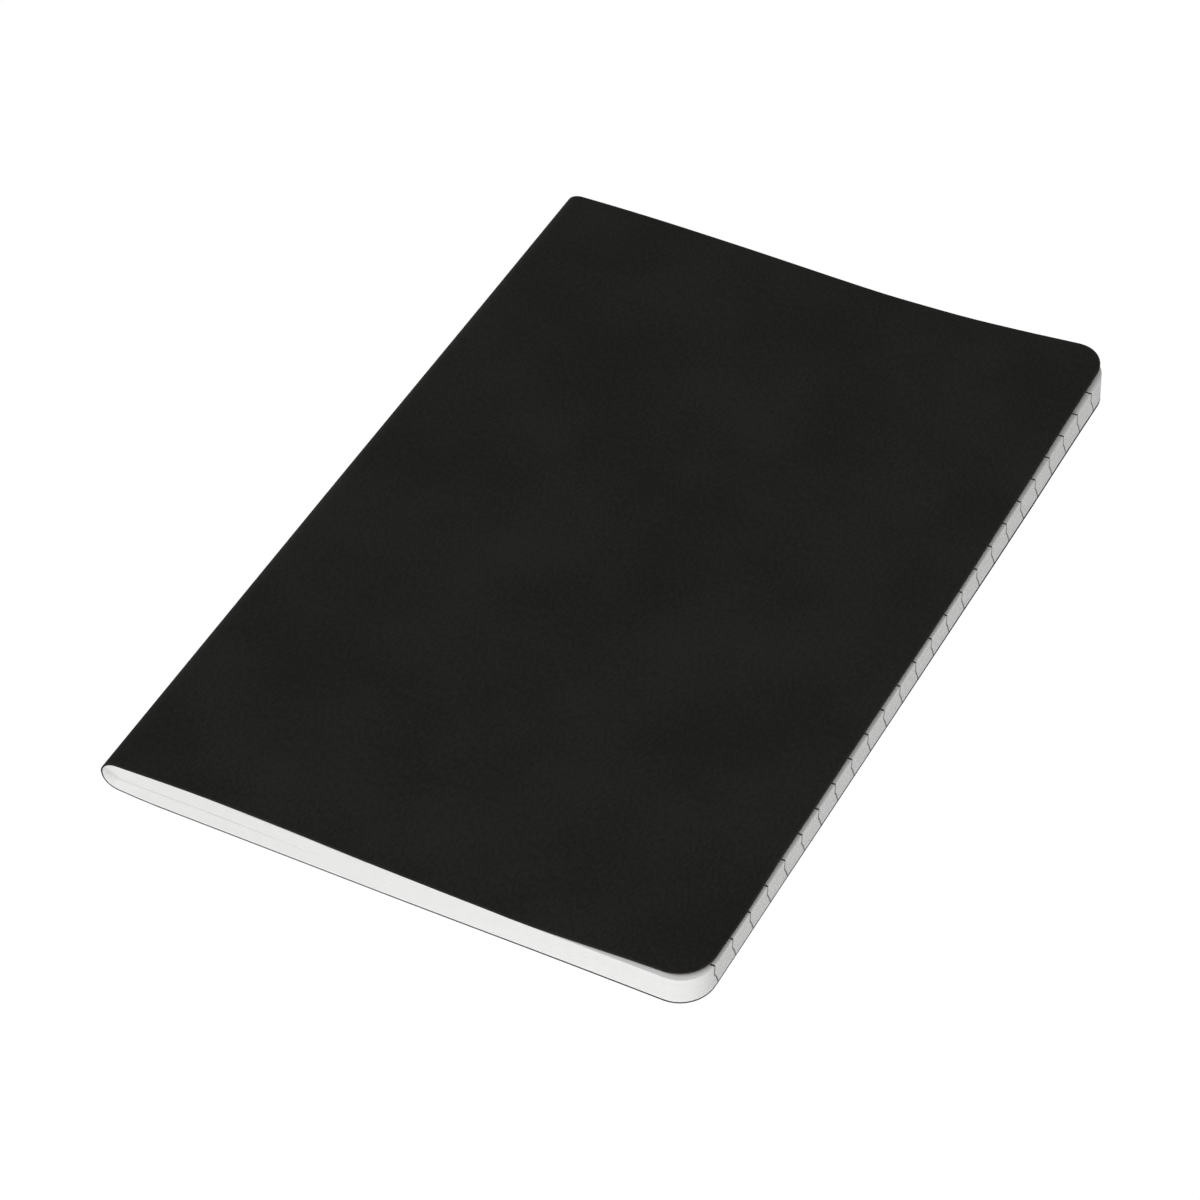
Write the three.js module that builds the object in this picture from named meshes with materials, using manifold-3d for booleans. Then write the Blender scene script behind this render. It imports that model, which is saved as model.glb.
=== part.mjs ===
// Softcover notebook, A5: a black card cover folded round one thick section of folded ruled sheets,
// held by two wire staples through the fold. Millimetres, +Z up. +X runs from the spine to the
// fore-edge, +Y from the tail to the head. The origin is the middle of the underside.
//
// The section is nested round one line, the fold line, at half the thickness. Each sheet has a lower
// leaf, a half-round fold and an upper leaf. The outermost and innermost sheets are single, and the
// sheets between them lie in bundles. Leaves, folds and covers swing about the fold line.

import * as THREE from 'three';
import { mergeVertices } from 'three/addons/utils/BufferGeometryUtils.js';
import Module from 'manifold-3d';

const wasm = await Module();
wasm.setup();

// Driving dimensions
const depth = 148; // outer face of the spine to the fore-edge, where covers and leaves are flush
const height = 210; // tail to head
const cardThickness = 0.35;
const sheetPitch = 0.106; // one sheet with the air that lies under it
const bundleGap = 0.02; // air between two neighbouring bundles
const singleSheets = 4; // loose sheets outside the bundles, and as many inside them
const bundleCount = 8;
const sheetsPerBundle = 4;
const cornerRadius = 8; // rounded fore-edge corners
const foreEdgeHeight = 8.1; // underside to the top of the leaves, at the fore-edge
const coverLift = 0.35; // degrees that the front cover stands open at rest
const coverHingeRise = 0.05; // front cover's hinge line above the cover's face

// Staples
const wireDiameter = 0.45;
const stapleSpacing = 105; // between the two staples' middles, along the spine
const crownLength = 12; // between the two legs of a staple
const clinchLength = 4; // bent end of a leg, inside the centre fold
const crownBend = 0.4; // bend radii at the wire's centreline
const clinchBend = 0.28;
const crownClearance = 0.05; // between the crown and the card
const holeClearance = 0.05; // round a leg, in the card and in each fold
const clinchClearance = 0.05; // between the clinch and the innermost sheet
const clinchInset = 0.03; // clinch centreline past the fold line, away from the spine

// Clearances of the moving pieces
const leafClearance = 0.075; // leaf and cover edges beside the staple legs when the notebook lies open

// Facets
const cornerSteps = 6;
const foldSteps = 12;
const wireSides = 8;
const bendSteps = 4;

// Worked-out sizes
const sheetCount = 2 * singleSheets + bundleCount * sheetsPerBundle;
const centreGap = wireDiameter + 2 * (clinchClearance + clinchInset);
const spineRadius = cardThickness + sheetCount * sheetPitch + centreGap / 2;
const thickness = 2 * spineRadius;
const foldX = spineRadius;
const foldZ = spineRadius;
const closing = 1 - (foreEdgeHeight - cardThickness) / (thickness - 2 * cardThickness);
const leafStart = wireDiameter / 2 + leafClearance;
const crownReach = crownClearance + wireDiameter;
const middleX = (depth - crownReach) / 2;

const card = new THREE.MeshStandardMaterial({ color: 0x1f1f1e, roughness: 0.82, metalness: 0 });
const paper = new THREE.MeshStandardMaterial({ color: 0xf3f1ec, roughness: 0.9, metalness: 0 });
const steel = new THREE.MeshStandardMaterial({ color: 0xb9bbbe, roughness: 0.35, metalness: 1 });

const notebook = new THREE.Group();
notebook.position.x = -middleX;

function add(name, geometry, material) {
  const mesh = new THREE.Mesh(geometry, material);
  mesh.name = name;
  notebook.add(mesh);
}

// Leaves and cover panels: flat, square at the spine and rounded at the two fore-edge corners
function panelGeometry(low, high) {
  const side = height / 2;
  const centreX = depth - cornerRadius;
  const outline = new THREE.Shape();
  outline.moveTo(foldX + leafStart, side);
  outline.lineTo(foldX + leafStart, -side);
  outline.absarc(centreX, -side + cornerRadius, cornerRadius, -Math.PI / 2, 0, false);
  outline.absarc(centreX, side - cornerRadius, cornerRadius, 0, Math.PI / 2, false);
  const geometry = new THREE.ExtrudeGeometry(outline, {
    depth: high - low,
    bevelEnabled: false,
    curveSegments: cornerSteps,
  });
  geometry.translate(0, 0, low);
  return geometry;
}

// The section is thicker at its folds than at the fore-edge, so the leaves close up on the way there
function leafGeometry(low, high) {
  const geometry = panelGeometry(low, high);
  const points = geometry.attributes.position;
  for (let i = 0; i < points.count; i += 1) {
    const share = (points.getX(i) - foldX) / (depth - foldX);
    const rise = points.getZ(i) - cardThickness;
    points.setZ(i, cardThickness + rise * (1 - closing * share));
  }
  geometry.computeVertexNormals();
  return geometry;
}

// The front panel stands a little open, turned about the front cover's hinge line
function frontPanelGeometry() {
  const hingeZ = thickness + coverHingeRise;
  const geometry = panelGeometry(thickness - cardThickness, thickness);
  geometry.translate(-foldX, 0, -hingeZ);
  geometry.rotateY(-THREE.MathUtils.degToRad(coverLift));
  geometry.translate(foldX, 0, hingeZ);
  return geometry;
}

// A closed geometry as a manifold solid, and back
function toSolid(geometry) {
  const bare = geometry.clone();
  bare.deleteAttribute('normal');
  bare.deleteAttribute('uv');
  const merged = mergeVertices(bare, 1e-5);
  return new wasm.Manifold(new wasm.Mesh({
    numProp: 3,
    vertProperties: new Float32Array(merged.attributes.position.array),
    triVerts: new Uint32Array(merged.index.array),
  }));
}

function toGeometry(solid) {
  const mesh = solid.getMesh();
  const geometry = new THREE.BufferGeometry();
  geometry.setAttribute('position', new THREE.BufferAttribute(new Float32Array(mesh.vertProperties), 3));
  geometry.setIndex(new THREE.BufferAttribute(new Uint32Array(mesh.triVerts), 1));
  geometry.computeVertexNormals();
  return geometry;
}

// Holes for the staple legs, through the card and every fold, on the fold line's height
const legPlaces = [-1, 1].flatMap((end) => [-1, 1].map(
  (leg) => end * stapleSpacing / 2 + leg * crownLength / 2,
));

const holeDrills = legPlaces.map((y) => {
  const radius = wireDiameter / 2 + holeClearance;
  const drill = new THREE.CylinderGeometry(radius, radius, 2 * spineRadius, wireSides);
  drill.rotateZ(Math.PI / 2);
  drill.translate(0, y, foldZ);
  return toSolid(drill);
});

// A half round about the fold line, open towards the fore-edge, pierced for the staple legs
function foldGeometry(inner, outer) {
  const section = new THREE.Shape();
  section.absarc(0, 0, outer, Math.PI / 2, 1.5 * Math.PI, false);
  section.absarc(0, 0, inner, 1.5 * Math.PI, Math.PI / 2, true);
  const geometry = new THREE.ExtrudeGeometry(section, {
    depth: height,
    bevelEnabled: false,
    curveSegments: foldSteps,
  });
  geometry.rotateX(Math.PI / 2);
  geometry.translate(foldX, height / 2, foldZ);
  let solid = toSolid(geometry);
  for (const drill of holeDrills) {
    solid = solid.subtract(drill);
  }
  return toGeometry(solid);
}

// Round wire through points of the level plane at the fold line's height, with mitred rings
function wireGeometry(points) {
  const positions = [];
  points.forEach((point, i) => {
    const before = points[Math.max(i - 1, 0)];
    const after = points[Math.min(i + 1, points.length - 1)];
    const here = i > 0 ? point.clone().sub(before).normalize() : after.clone().sub(point).normalize();
    const next = i < points.length - 1 ? after.clone().sub(point).normalize() : here;
    const along = here.clone().add(next).normalize();
    const mitre = 1 / along.dot(here);
    for (let side = 0; side < wireSides; side += 1) {
      const turn = (2 * Math.PI * side) / wireSides;
      const out = Math.cos(turn) * mitre * wireDiameter / 2;
      positions.push(point.x - along.y * out, point.y + along.x * out,
        foldZ + Math.sin(turn) * wireDiameter / 2);
    }
  });
  const index = [];
  const last = (points.length - 1) * wireSides;
  for (let side = 0; side < wireSides; side += 1) {
    const beside = (side + 1) % wireSides;
    for (let ring = 0; ring < last; ring += wireSides) {
      const [a, b] = [ring + side, ring + beside];
      const [c, d] = [a + wireSides, b + wireSides];
      index.push(a, b, c, b, d, c);
    }
    if (side > 0 && beside > 0) {
      index.push(0, beside, side);
      index.push(last, last + side, last + beside);
    }
  }
  const geometry = new THREE.BufferGeometry();
  geometry.setAttribute('position', new THREE.Float32BufferAttribute(positions, 3));
  geometry.setIndex(index);
  geometry.computeVertexNormals();
  return geometry;
}

// One half of a staple, from the middle of its crown to the clinched end of its leg, bent at two places
function stapleHalf(middleY, leg) {
  const crownX = -crownClearance - wireDiameter / 2;
  const clinchX = foldX + clinchInset;
  const legY = middleY + leg * crownLength / 2;
  const points = [];
  for (let step = 0; step <= bendSteps; step += 1) {
    const turn = (Math.PI / 2) * (step / bendSteps);
    points.push(new THREE.Vector2(
      crownX + crownBend * (1 - Math.cos(turn)),
      legY - leg * crownBend * (1 - Math.sin(turn)),
    ));
  }
  for (let step = 0; step <= bendSteps; step += 1) {
    const turn = (Math.PI / 2) * (step / bendSteps);
    points.push(new THREE.Vector2(
      clinchX - clinchBend * (1 - Math.sin(turn)),
      legY - leg * clinchBend * (1 - Math.cos(turn)),
    ));
  }
  points.push(new THREE.Vector2(clinchX, legY - leg * clinchLength));
  return points;
}

function addStaple(name, middleY) {
  const towardsHead = stapleHalf(middleY, 1);
  const towardsTail = stapleHalf(middleY, -1).reverse();
  add(name, wireGeometry([...towardsTail, ...towardsHead]), steel);
}

// Sheets, from the outermost to the innermost
const bundles = [
  ...Array(singleSheets).fill(1),
  ...Array(bundleCount).fill(sheetsPerBundle),
  ...Array(singleSheets).fill(1),
];
let firstSheet = 1;
let reach = spineRadius - cardThickness;
for (const sheets of bundles) {
  const number = (n) => String(n).padStart(2, '0');
  const lastSheet = firstSheet + sheets - 1;
  const name = sheets === 1 ? `sheet_${number(firstSheet)}`
    : `sheets_${number(firstSheet)}_to_${number(lastSheet)}`;
  const outer = reach - bundleGap;
  const inner = reach - sheets * sheetPitch;
  add(`${name}_lower_leaf`, leafGeometry(foldZ - outer, foldZ - inner), paper);
  add(`${name}_fold`, foldGeometry(inner, outer), paper);
  add(`${name}_upper_leaf`, leafGeometry(foldZ + inner, foldZ + outer), paper);
  firstSheet = lastSheet + 1;
  reach = inner;
}

// Card cover: back panel, the wrap round the spine, and front panel
add('back_cover', panelGeometry(0, cardThickness), card);
add('cover_spine', foldGeometry(spineRadius - cardThickness, spineRadius), card);
add('front_cover', frontPanelGeometry(), card);

addStaple('staple_tail', -stapleSpacing / 2);
addStaple('staple_head', stapleSpacing / 2);

export default notebook;
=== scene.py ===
import math
import random

import bpy
import numpy as np
from mathutils import Matrix, Vector


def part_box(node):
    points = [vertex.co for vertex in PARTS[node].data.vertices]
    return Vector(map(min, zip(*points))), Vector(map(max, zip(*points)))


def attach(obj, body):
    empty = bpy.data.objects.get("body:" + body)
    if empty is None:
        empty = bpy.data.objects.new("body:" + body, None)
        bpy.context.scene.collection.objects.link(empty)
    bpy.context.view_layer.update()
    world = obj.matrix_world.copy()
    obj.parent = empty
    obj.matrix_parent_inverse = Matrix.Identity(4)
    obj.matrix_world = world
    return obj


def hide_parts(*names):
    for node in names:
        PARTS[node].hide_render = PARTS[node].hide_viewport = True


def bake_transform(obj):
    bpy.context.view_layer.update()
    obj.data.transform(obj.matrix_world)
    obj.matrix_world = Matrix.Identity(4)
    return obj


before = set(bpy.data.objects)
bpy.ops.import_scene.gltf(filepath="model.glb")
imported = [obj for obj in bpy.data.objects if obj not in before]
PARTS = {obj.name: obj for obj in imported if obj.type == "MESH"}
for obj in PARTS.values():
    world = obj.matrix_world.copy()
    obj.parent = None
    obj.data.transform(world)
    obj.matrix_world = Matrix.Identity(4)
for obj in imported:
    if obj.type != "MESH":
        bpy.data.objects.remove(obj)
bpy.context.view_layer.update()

# A black card exercise notebook. Lengths are in metres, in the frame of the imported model: +X from the
# spine to the fore-edge, +Y from the tail to the head, +Z up through the front cover.
MM = 0.001

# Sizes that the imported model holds
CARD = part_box("back_cover")[1].z
SPINE_LOW, SPINE_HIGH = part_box("cover_spine")
SPINE_X, FOLD_X = SPINE_LOW.x, SPINE_HIGH.x
SPINE_RADIUS = FOLD_X - SPINE_X
TAIL_Y, HEAD_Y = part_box("back_cover")[0].y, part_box("back_cover")[1].y
FORE_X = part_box("back_cover")[1].x

# Paper and card
SHEET_COUNT = 40
SHEET_PITCH = 0.106 * MM
LEAF_THICKNESS = 0.08 * MM
AIR = 0.01 * MM
CENTRE_GAP = 2 * (SPINE_RADIUS - CARD - SHEET_COUNT * SHEET_PITCH)
CORNER, CORNER_SEGMENTS = 8 * MM, 10
FOLD_LENGTH, BLANK_WIDTH = SPINE_RADIUS, FORE_X - SPINE_X
TRIM_WANDER, TRIM_SEED = 0.02 * MM, 40

# Ruling
RULE_COUNT = 25
RULE_PITCH = 7.94 * MM
FIRST_RULE = 7.2 * MM
RULE_WIDTH = 0.45 * MM
RULE_DRIFT, DRIFT_STARTS = 3.3 * MM, 0.35


def smooth(value, start, end):
    """0 before start, 1 after end, with an even ease between them."""
    t = np.clip((value - start) / (end - start), 0, 1)
    return t * t * (3 - 2 * t)


def curve(value, places, heights):
    """A smooth curve through a few heights."""
    places, heights = np.array(places), np.array(heights)
    slopes = np.gradient(heights, places)
    value = np.clip(value, places[0], places[-1])
    i = np.clip(np.searchsorted(places, value) - 1, 0, len(places) - 2)
    span = places[i + 1] - places[i]
    t = (value - places[i]) / span
    ease = t * t * (3 - 2 * t)
    bend = span * t * (1 - t) * ((1 - t) * slopes[i] - t * slopes[i + 1])
    return heights[i] * (1 - ease) + heights[i + 1] * ease + bend


# The closed notebook isn't flat. The leaves lie closer together away from the fold, their fore-edges
# lean outwards towards the top, the front cover stands off them along the fore-edge, and the back cover
# turns up into the spine. Millimetres in these lists: across from the outside of the spine, and along
# from the middle towards the head.
ACROSS = (4.7, 8, 15, 26, 40, 52, 65, 77, 90, 97, 105, 118, 130, 148)
COVER_AT_TAIL = (9.1, 9.27, 9.64, 10.0, 9.98, 9.71, 9.2, 8.93, 8.72, 8.66, 8.5, 8.54, 8.58, 8.63)
COVER_AT_HEAD = (9.1, 9.16, 9.24, 9.21, 8.93, 8.6, 8.11, 7.66, 7.34, 7.44, 7.6, 7.57, 7.5, 8.2)
SLACK_AT_TAIL = (0.02, 0.02, 0.02, 0.04, 0.24, 0.28, 0.17, 0.05, 0.04, 0.02, 0.01, 0.01, 0.01, 0.01)
CENTRE_GAP_LEFT = (0.76, 0.42, 0.62, 0.6, 0.44, 0.2, 0.04, 0.02, 0.02, 0.02, 0.02, 0.02, 0.02, 0.02)
ALONG = (-105, -96, -86, -70, -50, -30, -10, 10, 26, 38, 50, 62, 75, 87, 105)
GAP_AT_EDGE = (1.95, 2.1, 1.62, 2.17, 2.16, 2.29, 2.08, 1.82, 1.92, 2.17, 2.23, 2.33, 2.38, 2.56, 2.65)
COVER_MOVES = (1.0, 1.0, 1.0, 0.9, 0.88, 0.86, 0.76, 0.65, 0.55, 0.42, 0.25, 0.1, -0.22, -0.37, -0.55)
TOP_LEAF_MOVES = (1.0, 1.0, 1.0, 0.96, 0.95, 0.86, 0.76, 0.7, 0.62, 0.47, 0.35, 0.23, 0.1, 0, -0.1)
BACK_MOVES = (0, 0, 0, -0.04, 0, 0, 0, 0, 0, 0, -0.04, -0.09, -0.25, -0.34, -0.36)
BACK_GAP_AT_EDGE = (0.1, 0.05, 0.03, 0.08, 0.1, 0.12, 0.16, 0.2, 0.25, 0.27, 0.3, 0.3, 0.3, 0.3, 0.25)
BACK_LIFTS_AT, BACK_LIFT = (4.7, 6.5, 8, 10, 12.5), (0.5, 0.36, 0.22, 0.08, 0)

# Where the gaps grow along X, and how much the back falls short at the tail
COVER_GAP_GROWS = (SPINE_X + 103 * MM, SPINE_X + 145 * MM)
BACK_GAP_GROWS = (SPINE_X + 60 * MM, SPINE_X + 130 * MM)
BACK_SHORT, BACK_SHORT_GROWS = 0.25 * MM, (SPINE_X + 70 * MM, SPINE_X + 122 * MM)

# The spine stands out a little more towards the tail, and its lower half is fuller than a half round:
# the sine and cosine of its turn are raised to this power
SPINE_BULGE, BULGE_GROWS = 0.235 * MM, (75 * MM, -15 * MM)
LOWER_FOLD_POWER = 0.83


def pressed_top(x, y):
    """Height of the front cover's outer face where it lies on the leaves."""
    across = (x - SPINE_X) / MM
    at_tail, at_head = (curve(across, ACROSS, cover) for cover in (COVER_AT_TAIL, COVER_AT_HEAD))
    return (at_tail + (at_head - at_tail) * smooth(y, TAIL_Y, HEAD_Y)) * MM


def block_top(x, y):
    """Height of the top leaf's upper face over the table."""
    slack = curve((x - SPINE_X) / MM, ACROSS, SLACK_AT_TAIL) * MM * smooth(y, 0, TAIL_Y)
    return pressed_top(x, y) - CARD - AIR - slack


def cover_top(x, y):
    """Height of the front cover's outer face over the table."""
    gap = curve(y / MM, ALONG, GAP_AT_EDGE) * MM
    return pressed_top(x, y) + gap * smooth(x, *COVER_GAP_GROWS)


def back_lift(x):
    """How far the back cover stands off the table, near the spine."""
    return curve((x - SPINE_X) / MM, BACK_LIFTS_AT, BACK_LIFT) * MM


def fold_middle(y):
    """Height of the middle of the rounded spine."""
    return (cover_top(FOLD_X, y) + back_lift(FOLD_X)) / 2


def trimmed(points, down, top_moves):
    """Shifts edges that weren't cut quite square. down is 0 at the top of the notebook and 1 at its back."""
    x, y = points[:, 0], points[:, 1]
    top, back = (curve(y / MM, ALONG, moves) * MM for moves in (top_moves, BACK_MOVES))
    out = (top * (1 - down) + back * down) * smooth(x, FOLD_X, FORE_X)
    short = BACK_SHORT * down * smooth(x, *BACK_SHORT_GROWS)
    y_share = (HEAD_Y - y) / (HEAD_Y - TAIL_Y)
    return points + np.stack([out, short * y_share, 0 * x], axis=1)


# Groups of sheets, from the outermost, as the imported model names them
def sheet_groups():
    found = []
    for name in sorted(PARTS):
        if name.endswith("_fold"):
            group = name[: -len("_fold")]
            numbers = [int(word) for word in group.split("_") if word.isdigit()]
            found.append((group, range(numbers[0], numbers[-1] + 1)))
    return sorted(found, key=lambda item: item[1][0])


# Finishes. The pieces carry their own flat places as a map, and each leaf its tone.
PAGE_MAP, TONE = "page", "leaf_tone"


class Value:
    """A socket that can stand in sums."""

    def __init__(self, finish, socket):
        self.finish, self.socket = finish, socket

    def calculate(self, operation, *others):
        return self.finish.node("ShaderNodeMath", self, *others, operation=operation)

    def __add__(self, other):
        return self.calculate("ADD", other)

    def __sub__(self, other):
        return self.calculate("SUBTRACT", other)

    def __mul__(self, other):
        return self.calculate("MULTIPLY", other)

    def __truediv__(self, other):
        return self.calculate("DIVIDE", other)

    def __lt__(self, other):
        return self.calculate("LESS_THAN", other)

    def __gt__(self, other):
        return self.calculate("GREATER_THAN", other)

    __radd__ = __add__


# The places of the mix node's sockets for colours, and of its output for them
MIX_SOCKETS, MIX_OUTPUT = (0, 6, 7), 2


class Finish:
    """A material made of nodes round one Principled BSDF."""

    def __init__(self, name, **plain):
        self.material = bpy.data.materials.new(name)
        self.material.use_nodes = True
        self.tree = self.material.node_tree
        self.shader = self.tree.nodes["Principled BSDF"]
        for socket, value in plain.items():
            self.shader.inputs[socket.replace("_", " ")].default_value = value

    def fill(self, socket, value):
        if isinstance(value, Value):
            self.tree.links.new(value.socket, socket)
        else:
            socket.default_value = value

    def node(self, kind, *values, output=0, **named):
        """A new node. The values fill its sockets in their order. Capitalised names are sockets too, and
        the other names are settings."""
        made = self.tree.nodes.new(kind)
        for name, value in named.items():
            if name.islower():
                setattr(made, name, value)
        for socket, value in zip(made.inputs, values):
            self.fill(socket, value)
        for name, value in named.items():
            if not name.islower():
                self.fill(made.inputs[name], value)
        return Value(self, made.outputs[output])

    def page(self):
        """Places on the piece's own flat blank, in metres."""
        return self.node("ShaderNodeUVMap", uv_map=PAGE_MAP)

    def noise(self, where, scale, detail, roughness=0.55):
        return self.node(
            "ShaderNodeTexNoise", Vector=where, Scale=scale, Detail=detail, Roughness=roughness
        )

    def blend(self, share, first, second):
        """One colour turning into another."""
        made = self.tree.nodes.new("ShaderNodeMix")
        made.data_type = "RGBA"
        for place, value in zip(MIX_SOCKETS, (share, first, second)):
            self.fill(made.inputs[place], value)
        return Value(self, made.outputs[MIX_OUTPUT])

    def set(self, socket, value):
        self.fill(self.shader.inputs[socket], value)

    def bump(self, height, strength, distance):
        self.set("Normal", self.node("ShaderNodeBump", Height=height, Strength=strength, Distance=distance))


def grey(level, warmth=0.0):
    """A colour of that level, a little warm or cool."""
    return (level * (1 + warmth), level, level * (1 - warmth), 1)


def stretched(finish, where, x, y):
    """Places with x and y multiplied, so that a pattern is drawn out along one of them."""
    return finish.node("ShaderNodeVectorMath", where, (x, y, 1), operation="MULTIPLY")


def past_corner(finish, where):
    """How far a place lies past the centre of its rounded corner, both ways, and never below 0."""
    centre = (BLANK_WIDTH - CORNER, HEAD_Y - CORNER, 0)
    place = finish.node("ShaderNodeVectorMath", where, operation="ABSOLUTE")
    place = finish.node("ShaderNodeVectorMath", place, centre, operation="SUBTRACT")
    return finish.node("ShaderNodeVectorMath", place, (0, 0, 0), operation="MAXIMUM")


# Waves per metre of each pattern
CARD_CLOUDS, CARD_FIBRES, CARD_TOOTH, CARD_CUT_GRAIN = 28, 1300, 3800, 2600
PAPER_CLOUDS, PAPER_FIBRES, EDGE_NICKS = 140, 2200, 700
WIRE_SCRATCHES = 5200

# Each surface's two tones, the paler rim of the card's face and the paler corners of its cut edge, and the
# ink, which also shows on the cut edges
CARD_TONES = (0.0052, 0.0052, 0.0042, 1), (0.0138, 0.0138, 0.0118, 1)
CARD_CUT_TONES = grey(0.012, 0.1), grey(0.032, 0.14)
PAPER_TONES = grey(0.83, 0.008), grey(0.9, 0.004)
PAPER_CUT_TONES = grey(0.85, 0.006), grey(0.92, 0.004)
WIRE_TONES = grey(0.5), grey(0.68)
PALE_RIM_FACE, PALE_CORNER_CUT = grey(0.04, 0.06), grey(0.13, 0.1)
INK, INK_STRENGTH = grey(0.03, -0.05), 0.94
CUT_INK, CUT_INK_STRENGTH = grey(0.1, -0.03), 0.72

# How sharply the card's tones part, how far in from its outer edges the card's face turns paler, and where
# its cut edge turns paler round the corners
CARD_CONTRAST = (0.443, 0.557)
PALE_RIM_WIDTH = 0.6 * MM
CUT_CORNER_FADES = (0.3 * MM, 2 * MM)


def card_finish():
    """Uncoated black card: a tooth of fine fibres, faint clouds in the dye, and paler in a narrow strip
    along its outer edges.
    """
    card = Finish("black_card", Roughness=0.88, Specular_IOR_Level=0.12)
    where = card.page()
    clouds = card.noise(where, CARD_CLOUDS, 2)
    fibres = card.noise(stretched(card, where, 1.0, 0.5), CARD_FIBRES, 4, 0.7)
    tooth = card.noise(where, CARD_TOOTH, 3, 0.6)
    mottle = clouds * 0.22 + fibres * 0.4 + tooth * 0.38
    face = card.blend(card.node("ShaderNodeMapRange", mottle, *CARD_CONTRAST), *CARD_TONES)
    from_centre = card.node(
        "ShaderNodeVectorMath", past_corner(card, where), operation="LENGTH", output="Value"
    )
    # Paler in a narrow strip along the tail, head and fore-edge, patchy with the fibres
    pale_rim = card.node("ShaderNodeMapRange", from_centre, CORNER - PALE_RIM_WIDTH, CORNER)
    card.set("Base Color", card.blend(pale_rim * (0.1 + fibres * 0.4), face, PALE_RIM_FACE))
    card.set("Roughness", 0.8 + fibres * 0.16)
    card.bump(fibres * 0.5 + tooth * 0.5, 0.22, 0.06 * MM)
    return card.material


def card_cut_finish():
    """The cut edge of the card, browner and a little lighter than its face, most of all at the corners."""
    cut = Finish("card_cut_edge", Roughness=0.9, Specular_IOR_Level=0.15)
    where = cut.page()
    grain = cut.noise(where, CARD_CUT_GRAIN, 3, 0.7)
    past = past_corner(cut, where)
    x, y = (cut.node("ShaderNodeSeparateXYZ", past, output=axis) for axis in "XY")
    corner = cut.node("ShaderNodeMapRange", x.calculate("MINIMUM", y), *CUT_CORNER_FADES)
    edge = cut.blend(grain, *CARD_CUT_TONES)
    # Paler round the rounded corners, patchy with the grain
    cut.set("Base Color", cut.blend(corner * (0.35 + grain * 0.9), edge, PALE_CORNER_CUT))
    cut.bump(grain, 0.3, 0.05 * MM)
    return cut.material


def rule_mask(paper, where):
    """1 on the ruled lines, which cross the page from the spine to the fore-edge."""
    y = paper.node("ShaderNodeSeparateXYZ", where, output="Y")
    turns = (y - (TAIL_Y + FIRST_RULE)) / RULE_PITCH + 0.5
    offset = turns.calculate("FRACT") - 0.5
    away = offset.calculate("ABSOLUTE") * RULE_PITCH
    return (away < RULE_WIDTH / 2) * (turns > 0) * (turns < RULE_COUNT)


def page_finish():
    """White writing paper with printed rules."""
    paper = Finish("ruled_page", Roughness=0.85, Specular_IOR_Level=0.25)
    where = paper.page()
    clouds = paper.noise(where, PAPER_CLOUDS, 3)
    fibres = paper.noise(where, PAPER_FIBRES, 3, 0.65)
    sheet = paper.blend(clouds * 0.5 + fibres * 0.5, *PAPER_TONES)
    paper.set("Base Color", paper.blend(rule_mask(paper, where) * INK_STRENGTH, sheet, INK))
    paper.bump(fibres, 0.15, 0.03 * MM)
    return paper.material


def page_edge_finish():
    """Trimmed paper edges: each leaf a little lighter or darker, with the ink of the rules showing."""
    paper = Finish("page_cut_edge", Roughness=0.9, Specular_IOR_Level=0.2)
    where = paper.page()
    tone = paper.node("ShaderNodeAttribute", attribute_name=TONE, output="Fac")
    nicks = paper.noise(where, EDGE_NICKS, 3, 0.7)
    sheet = paper.blend(tone * 0.4 + nicks * 0.6, *PAPER_CUT_TONES)
    paper.set("Base Color", paper.blend(rule_mask(paper, where) * CUT_INK_STRENGTH, sheet, CUT_INK))
    paper.bump(nicks, 0.2, 0.04 * MM)
    return paper.material


def wire_finish():
    """Drawn steel wire with fine scratches along it."""
    wire = Finish("staple_wire", Metallic=1.0, Roughness=0.32)
    where = wire.node("ShaderNodeTexCoord", output="Object")
    scratches = wire.noise(stretched(wire, where, 8, 0.4), WIRE_SCRATCHES, 2, 0.6)
    wire.set("Base Color", wire.blend(scratches, *WIRE_TONES))
    wire.set("Roughness", 0.22 + scratches * 0.22)
    wire.bump(scratches, 0.1, 0.02 * MM)
    return wire.material


# Modelling
def select_only(*pieces):
    """Selects these pieces, the first as the active one."""
    bpy.ops.object.select_all(action="DESELECT")
    for piece in pieces:
        piece.select_set(True)
    bpy.context.view_layer.objects.active = pieces[0]


def new_object(name, data):
    made = bpy.data.objects.new(name, data)
    bpy.context.scene.collection.objects.link(made)
    return made


def make_blank(name, x_cuts, y_cuts):
    """A flat rectangle, rounded at its two fore-edge corners and cut across both ways so that it can bend.
    Its X is 0 on the outside of the fold, and FOLD_LENGTH where the fold ends."""
    bpy.ops.mesh.primitive_plane_add(size=1, location=(0, 0, 0))
    sheet = bpy.context.object
    sheet.name = name
    width, height = BLANK_WIDTH, HEAD_Y - TAIL_Y
    bpy.ops.object.mode_set(mode="EDIT")
    bpy.ops.transform.resize(value=(width, height, 1))
    bpy.ops.transform.translate(value=(width / 2, 0, 0))
    bpy.ops.mesh.select_all(action="DESELECT")
    bpy.ops.object.mode_set(mode="OBJECT")
    for vertex in sheet.data.vertices:
        vertex.select = vertex.co.x > width / 2
    bpy.ops.object.mode_set(mode="EDIT")
    bpy.ops.mesh.select_mode(type="VERT")
    bpy.ops.mesh.bevel(offset=CORNER, segments=CORNER_SEGMENTS, profile=0.5, affect="VERTICES")
    for cuts, normal in ((x_cuts, (1, 0, 0)), (y_cuts, (0, 1, 0))):
        for cut in cuts:
            bpy.ops.mesh.select_all(action="SELECT")
            bpy.ops.mesh.bisect(plane_co=[cut * n for n in normal], plane_no=normal)
    bpy.ops.object.mode_set(mode="OBJECT")
    return sheet


def spread(start, end, step):
    """Even places from start to end, without the ends."""
    count = max(1, round((end - start) / step))
    return [start + (end - start) * i / count for i in range(1, count)]


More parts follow.
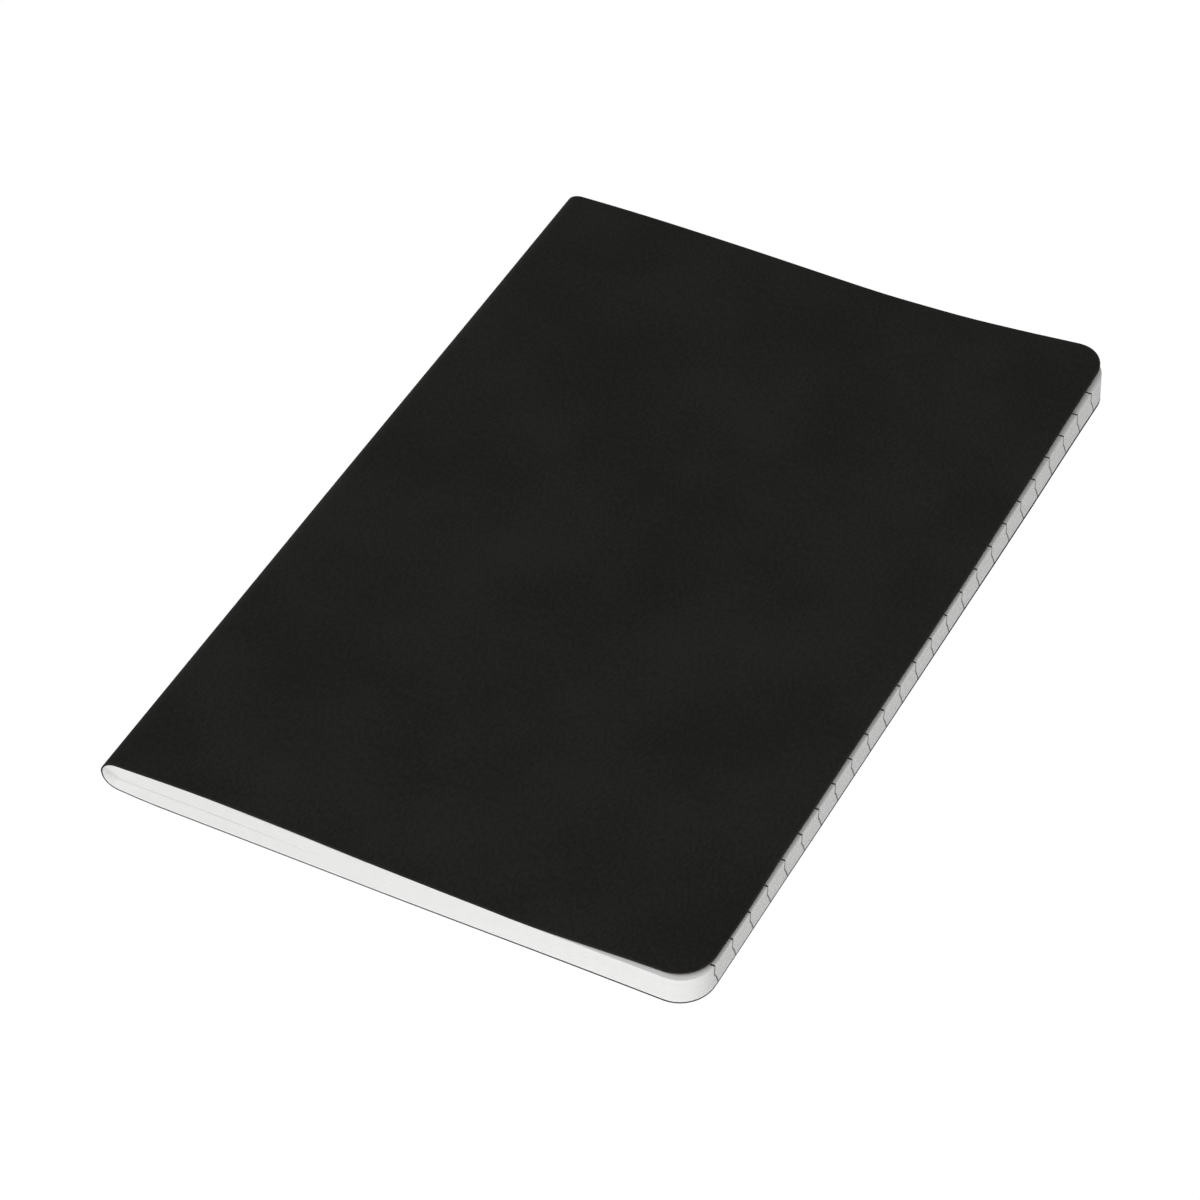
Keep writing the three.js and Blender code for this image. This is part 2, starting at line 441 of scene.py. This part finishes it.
# Where a leaf is cut across: close together in the fold and where the page bends, wider beyond
SEAM_STRIP = 0.25 * MM
PAGE_BEND = 7 * MM
FOLD_STEP, BEND_STEP, LEAF_STEP, LEAF_ROW_STEP = 0.55 * MM, 1 * MM, 8 * MM, 10 * MM
BEND_END = FOLD_LENGTH + PAGE_BEND
LEAF_CUTS = [
    SEAM_STRIP,
    *spread(SEAM_STRIP, FOLD_LENGTH, FOLD_STEP),
    FOLD_LENGTH,
    *spread(FOLD_LENGTH, BEND_END, BEND_STEP),
    BEND_END,
    *spread(BEND_END, BLANK_WIDTH, LEAF_STEP),
]

# Beyond either end of a blank, and the share of a quarter turn that stays unbent at each of its ends
BEYOND = 1.0
TURN_CLEAR = 0.1
FACE_ANGLE, WIRE_ANGLE = math.radians(40), math.radians(50)


def folded(x, y, radius, side, height_at):
    """Where the points of a blank lie in the closed notebook.
    radius is the leaf's distance from the fold line, side -1 for the lower half and 1 for the upper,
    and height_at gives the height of the flat stretch at any point."""
    turn = np.clip(x / FOLD_LENGTH, 0, 1) * math.pi / 2
    middle = fold_middle(y)
    reach = np.abs(height_at(FOLD_X, y) - middle)
    bent = x < FOLD_LENGTH
    wide = radius * (1 + SPINE_BULGE / SPINE_RADIUS * smooth(y, *BULGE_GROWS))
    power = LOWER_FOLD_POWER if side < 0 else 1
    across, upright = np.abs(np.cos(turn)) ** power, np.sin(turn) ** power
    new_x = np.where(bent, FOLD_X - wide * across, x + SPINE_X)
    new_z = np.where(bent, middle + side * reach * upright, height_at(x + SPINE_X, y))
    return np.stack([new_x, y, new_z], axis=1)


def leaf_height(number, side):
    """The height of a leaf's middle over the table, from its sheet's number counted from the cover."""

    def height_at(x, y):
        back_gap = curve(y / MM, ALONG, BACK_GAP_AT_EDGE) * MM * smooth(x, *BACK_GAP_GROWS)
        top, bottom = block_top(x, y), CARD + AIR + back_gap + back_lift(x)
        gap = CENTRE_GAP * curve((x - SPINE_X) / MM, ACROSS, CENTRE_GAP_LEFT)
        pitch = (top - bottom - gap) / (2 * SHEET_COUNT)
        depth = (number - 0.5) * pitch
        return bottom + depth if side < 0 else top - depth

    return height_at


def read_points(mesh):
    points = np.empty(len(mesh.vertices) * 3)
    mesh.vertices.foreach_get("co", points)
    return points.reshape(-1, 3)


def write_points(mesh, points):
    mesh.vertices.foreach_set("co", points.ravel())
    mesh.update()


def write_page_map(mesh, flat):
    """The piece's own flat coordinates, in metres, as its UV map."""
    corners = np.empty(len(mesh.loops), dtype=np.int32)
    mesh.loops.foreach_get("vertex_index", corners)
    layer = mesh.uv_layers.new(name=PAGE_MAP)
    layer.data.foreach_set("uv", flat[corners].ravel())


def stretch_of(blank, name, low, high):
    """A copy of a blank, cut down to the stretch between two places along X."""
    sheet = new_object(name, blank.data.copy())
    select_only(sheet)
    bpy.ops.object.mode_set(mode="EDIT")
    bpy.ops.mesh.select_all(action="SELECT")
    bpy.ops.mesh.bisect(plane_co=(low, 0, 0), plane_no=(1, 0, 0), clear_inner=True)
    bpy.ops.mesh.select_all(action="SELECT")
    bpy.ops.mesh.bisect(plane_co=(high, 0, 0), plane_no=(1, 0, 0), clear_outer=True)
    bpy.ops.object.mode_set(mode="OBJECT")
    return sheet


def join(pieces, name):
    select_only(*pieces)
    if len(pieces) > 1:
        bpy.ops.object.join()
    joined = bpy.context.object
    joined.name = name
    return joined


def thicken(piece, thickness, face, rim):
    """Gives a sheet its thickness, with its own finish on the cut edges."""
    piece.data.materials.clear()
    piece.data.materials.append(face)
    piece.data.materials.append(rim)
    select_only(piece)
    solidify = piece.modifiers.new("thickness", "SOLIDIFY")
    solidify.thickness = thickness
    solidify.offset = 0
    solidify.use_even_offset = True
    solidify.material_offset_rim = 1
    bpy.ops.object.modifier_apply(modifier=solidify.name)
    bpy.ops.object.shade_smooth_by_angle(angle=FACE_ANGLE)


def quarter_turns(radius, low, high):
    """The bending stretches of a fold's lower and upper half. low and high are the heights where the
    fold meets its two leaves."""
    spine = Vector((FOLD_X - radius, 0, fold_middle(0)))
    below, above = Vector((FOLD_X, 0, low)), Vector((FOLD_X, 0, high))
    return (
        {"start": below.lerp(spine, TURN_CLEAR), "end": spine.lerp(below, TURN_CLEAR)},
        {"start": spine.lerp(above, TURN_CLEAR), "end": above.lerp(spine, TURN_CLEAR)},
    )


def make_leaf(blank, number, side, trim):
    """One leaf of one sheet, or its half of the fold, still without thickness."""
    leaf = new_object(f"leaf_{number}_{side}", blank.data.copy())
    flat = read_points(leaf.data)
    short_fore, short_ends, tone = trim[number, side]
    x = np.where(flat[:, 0] > FOLD_LENGTH, flat[:, 0] * (1 - short_fore / BLANK_WIDTH), flat[:, 0])
    y = flat[:, 1] * (1 - short_ends / HEAD_Y)
    radius = SPINE_RADIUS - CARD - AIR - (number - 0.5) * SHEET_PITCH
    placed = folded(x, y, radius, side, leaf_height(number, side))
    down = (1 - side * radius / SPINE_RADIUS) / 2
    write_points(leaf.data, trimmed(placed, down, TOP_LEAF_MOVES))
    drift = RULE_DRIFT * max(0, down - DRIFT_STARTS)
    write_page_map(leaf.data, np.stack([flat[:, 0], flat[:, 1] - drift], axis=1))
    shade = leaf.data.attributes.new(TONE, "FLOAT", "POINT")
    shade.data.foreach_set("value", np.full(len(flat), tone))
    return leaf


def make_sheets(page, edge):
    """All forty sheets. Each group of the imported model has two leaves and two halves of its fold."""
    blank = make_blank("leaf_blank", LEAF_CUTS, spread(TAIL_Y, HEAD_Y, LEAF_ROW_STEP))
    turn_blank = stretch_of(blank, "turn_blank", -BEYOND, FOLD_LENGTH)
    flat_blank = stretch_of(blank, "flat_blank", FOLD_LENGTH, BEYOND)
    wander = random.Random(TRIM_SEED)
    trim = {}
    for number in range(1, SHEET_COUNT + 1):
        for side in (-1, 1):
            shorts = [abs(wander.gauss(0, TRIM_WANDER)) for _ in range(2)]
            trim[number, side] = (*shorts, wander.random())

    def make_piece(source, name, numbers, side, node):
        piece = join([make_leaf(source, number, side, trim) for number in numbers], name)
        thicken(piece, LEAF_THICKNESS, page, edge)
        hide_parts(node)
        return piece

    for index, (group, numbers) in enumerate(sheet_groups()):
        radius = SPINE_RADIUS - CARD - (numbers[0] + numbers[-1] - 1) / 2 * SHEET_PITCH
        middle_number = (numbers[0] + numbers[-1]) / 2
        low, high = (leaf_height(middle_number, side)(FOLD_X, 0) for side in (-1, 1))
        lower_bend, upper_bend = quarter_turns(radius, low, high)
        lower_turn = make_piece(turn_blank, f"{group}_lower_turn", numbers, -1, f"{group}_fold")
        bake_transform(lower_turn)
        upper_turn = make_piece(turn_blank, f"{group}_upper_turn", numbers, 1, f"{group}_fold")
        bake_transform(upper_turn)
        lower = make_piece(flat_blank, f"{group}_lower", numbers, -1, f"{group}_lower_leaf")
        upper = make_piece(flat_blank, f"{group}_upper", numbers, 1, f"{group}_upper_leaf")
        if index == 0:
            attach(lower, "back_half")
            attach(upper, "sheet_01_upper")
        else:
            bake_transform(lower)
            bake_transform(upper)
    for spent in (blank, turn_blank, flat_blank):
        bpy.data.objects.remove(spent)


# The card cover in three pieces, because it bends at the spine and at the front hinge
HINGE_START, HINGE_END = 0.6 * MM, 2.6 * MM
HINGE_CUTS_END = FOLD_LENGTH + HINGE_END + 1 * MM
CARD_FOLD_STEP, HINGE_STEP, COVER_STEP = 0.3 * MM, 0.2 * MM, 5 * MM


def place_card(sheet, side):
    """Folds a stretch of the card to its place, side -1 for the back and 1 for the wrap and the front."""
    flat = read_points(sheet.data)

    def height_at(x, y):
        return 0 * y + CARD / 2 + back_lift(x) if side < 0 else cover_top(x, y) - CARD / 2

    placed = folded(flat[:, 0], flat[:, 1], SPINE_RADIUS - CARD / 2, side, height_at)
    placed = trimmed(placed, 1 if side < 0 else 0, COVER_MOVES)
    write_page_map(sheet.data, flat[:, :2])
    write_points(sheet.data, placed)


def make_cover(face, cut):
    """The back panel with the lower half of the fold, the wrap round its upper half, and the front panel."""
    fold_cuts = [SEAM_STRIP, *spread(SEAM_STRIP, FOLD_LENGTH, CARD_FOLD_STEP), FOLD_LENGTH]
    hinge_cuts = spread(FOLD_LENGTH, HINGE_CUTS_END, HINGE_STEP)
    flat_cuts = spread(HINGE_CUTS_END, BLANK_WIDTH, COVER_STEP)
    cuts = fold_cuts + hinge_cuts + flat_cuts
    blank = make_blank("card_blank", cuts, spread(TAIL_Y, HEAD_Y, COVER_STEP))
    high = cover_top(FOLD_X, 0) - CARD / 2
    low = CARD / 2 + back_lift(FOLD_X)
    lower_bend, upper_bend = quarter_turns(SPINE_RADIUS - CARD / 2, low, high)
    strip_end = FOLD_LENGTH + HINGE_START

    def make_panel(name, side, start, end, node):
        panel = stretch_of(blank, name, start, end)
        place_card(panel, side)
        thicken(panel, CARD, face, cut)
        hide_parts(node)
        return panel

    back = make_panel("cover_back_panel", -1, -BEYOND, BEYOND, "back_cover")
    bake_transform(back)
    wrap = make_panel("cover_spine_wrap", 1, -BEYOND, strip_end, "cover_spine")
    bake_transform(wrap)
    front = make_panel("cover_front_panel", 1, strip_end, BEYOND, "front_cover")
    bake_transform(front)
    bpy.data.objects.remove(blank)


# Staples: the wire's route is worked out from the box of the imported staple
WIRE, WIRE_ROUNDNESS = 0.45 * MM, 4
CROWN_BEND, CLINCH_BEND, BEND_POINTS = 0.4 * MM, 0.28 * MM, 6
CLINCH = 4 * MM


def corner_arc(corner, start, end, radius):
    """Points of a round corner at corner, between the directions start and end."""
    start, end = Vector(start), Vector(end)
    centre = Vector(corner) - radius * start + radius * end
    turns = [math.pi / 2 * i / BEND_POINTS for i in range(BEND_POINTS + 1)]
    return [centre + radius * (start * math.sin(t) - end * math.cos(t)) for t in turns]


def make_staple(node, finish):
    low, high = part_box(node)
    crown_x, clinch_x = low.x + WIRE / 2, high.x - WIRE / 2
    legs = (low.y + WIRE / 2, high.y - WIRE / 2)
    tail, head = (0, -1, 0), (0, 1, 0)
    inward, outward = (1, 0, 0), (-1, 0, 0)
    z = fold_middle((low.y + high.y) / 2)
    points = [Vector((clinch_x, legs[0] + CLINCH, z))]
    points += corner_arc((clinch_x, legs[0], z), tail, outward, CLINCH_BEND)
    points += corner_arc((crown_x, legs[0], z), outward, head, CROWN_BEND)
    points += corner_arc((crown_x, legs[1], z), head, inward, CROWN_BEND)
    points += corner_arc((clinch_x, legs[1], z), inward, tail, CLINCH_BEND)
    points += [Vector((clinch_x, legs[1] - CLINCH, z))]
    route = bpy.data.curves.new(f"{node}_wire", "CURVE")
    route.dimensions = "3D"
    route.bevel_depth = WIRE / 2
    route.bevel_resolution = WIRE_ROUNDNESS
    route.use_fill_caps = True
    spline = route.splines.new("POLY")
    spline.points.add(len(points) - 1)
    for place, point in zip(spline.points, points):
        place.co = (*point, 1)
    select_only(new_object(f"{node}_wire", route))
    bpy.ops.object.convert(target="MESH")
    wire = bpy.context.object
    wire.data.materials.clear()
    wire.data.materials.append(finish)
    bpy.ops.object.shade_smooth_by_angle(angle=WIRE_ANGLE)
    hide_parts(node)
    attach(wire, "staples")


# Studio
LENS_MM, SENSOR_MM = 124.25, 36
CAMERA_AZIMUTH, CAMERA_ELEVATION, CAMERA_ROLL = 33.14, 45.44, -5.91
CAMERA_DISTANCE, CAMERA_CLIP = 0.9431, 0.01
CAMERA_TARGET = Vector((-2.12 * MM, -8.37 * MM, 0))


def make_camera():
    """The photograph's own viewpoint: turned from the tail towards the fore-edge, looking down."""
    azimuth, elevation, roll = (
        math.radians(a) for a in (CAMERA_AZIMUTH, CAMERA_ELEVATION, CAMERA_ROLL)
    )
    back = Vector((
        math.sin(azimuth) * math.cos(elevation),
        -math.cos(azimuth) * math.cos(elevation),
        math.sin(elevation),
    ))
    right = Vector((0, 0, 1)).cross(back).normalized()
    up = back.cross(right)
    tilted_right = math.cos(roll) * right + math.sin(roll) * up
    tilted_up = math.cos(roll) * up - math.sin(roll) * right
    data = bpy.data.cameras.new("camera")
    data.lens = LENS_MM
    data.sensor_width = SENSOR_MM
    data.clip_start = CAMERA_CLIP
    camera = new_object("camera", data)
    turn = Matrix((tilted_right, tilted_up, back)).transposed()
    camera.matrix_world = Matrix.Translation(CAMERA_TARGET + back * CAMERA_DISTANCE) @ turn.to_4x4()
    bpy.context.scene.camera = camera


def make_softbox(name, place, target, size, power):
    data = bpy.data.lights.new(name, "AREA")
    data.shape = "SQUARE"
    data.size = size
    data.energy = power
    lamp = new_object(name, data)
    lamp.location = place
    aim = Vector(target) - Vector(place)
    lamp.rotation_euler = aim.to_track_quat("-Z", "Y").to_euler()


WINDOW_PLACE, WINDOW_SIZE, WINDOW_POWER = (0.27, -1.1, 1.1), 0.9, 15.0
WORLD_LEVEL = 0.37
FLOOR_SIZE, FLOOR_DROP = 6.0, 0.02 * MM
FLOOR_LEVEL, FLOOR_GLOW, FLOOR_SHOWN_WHITE = 0.86, 1.02, 0.97


def shown_directly(finish):
    """1 where the camera sees a thing itself, or in a mirror or through glass."""
    kinds = ("Is Camera Ray", "Is Glossy Ray", "Is Transmission Ray")
    camera, glossy, through = (finish.node("ShaderNodeLightPath", output=kind) for kind in kinds)
    return finish.node("ShaderNodeMath", camera + glossy, through, operation="ADD", use_clamp=True)


def make_floor():
    """A plain floor that shows as white and still takes a little of the notebook's shadow."""
    bpy.ops.mesh.primitive_plane_add(size=FLOOR_SIZE, location=(0, 0, -FLOOR_DROP))
    floor = bpy.context.object
    floor.name = "floor"
    white = Finish("pale_floor", Roughness=0.9, Specular_IOR_Level=0.0)
    white.set("Base Color", grey(FLOOR_LEVEL))
    shown = shown_directly(white)
    glow = white.node("ShaderNodeEmission", (1, 1, 1, 1), FLOOR_GLOW)
    lit = Value(white, white.shader.outputs[0])
    mix = white.node("ShaderNodeMixShader", shown * FLOOR_SHOWN_WHITE, lit, glow)
    output = white.tree.nodes["Material Output"]
    white.fill(output.inputs["Surface"], mix)
    floor.data.materials.append(white.material)


def make_world():
    """White where it is seen, also in a mirror or through glass, and a plain level for lighting."""
    world = bpy.data.worlds.new("studio")
    bpy.context.scene.world = world
    world.use_nodes = True
    nodes, links = world.node_tree.nodes, world.node_tree.links
    background = nodes["Background"]
    path = nodes.new("ShaderNodeLightPath")
    seen = nodes.new("ShaderNodeMath")
    seen.operation = "MAXIMUM"
    links.new(path.outputs["Is Camera Ray"], seen.inputs[0])
    links.new(path.outputs["Is Transmission Ray"], seen.inputs[1])
    seen_or_glossy = nodes.new("ShaderNodeMath")
    seen_or_glossy.operation = "MAXIMUM"
    links.new(seen.outputs[0], seen_or_glossy.inputs[0])
    links.new(path.outputs["Is Glossy Ray"], seen_or_glossy.inputs[1])
    level = nodes.new("ShaderNodeMapRange")
    level.inputs["To Min"].default_value = WORLD_LEVEL
    level.inputs["To Max"].default_value = 1.0
    links.new(seen_or_glossy.outputs[0], level.inputs["Value"])
    background.inputs["Color"].default_value = (1, 1, 1, 1)
    links.new(level.outputs["Result"], background.inputs["Strength"])


def make_studio():
    make_floor()
    make_world()
    make_softbox("window", WINDOW_PLACE, (0, 0, 0), WINDOW_SIZE, WINDOW_POWER)
    bpy.context.scene.view_settings.view_transform = "Standard"


make_camera()
make_sheets(page_finish(), page_edge_finish())
make_cover(card_finish(), card_cut_finish())
wire_steel = wire_finish()
make_staple("staple_tail", wire_steel)
make_staple("staple_head", wire_steel)
make_studio()
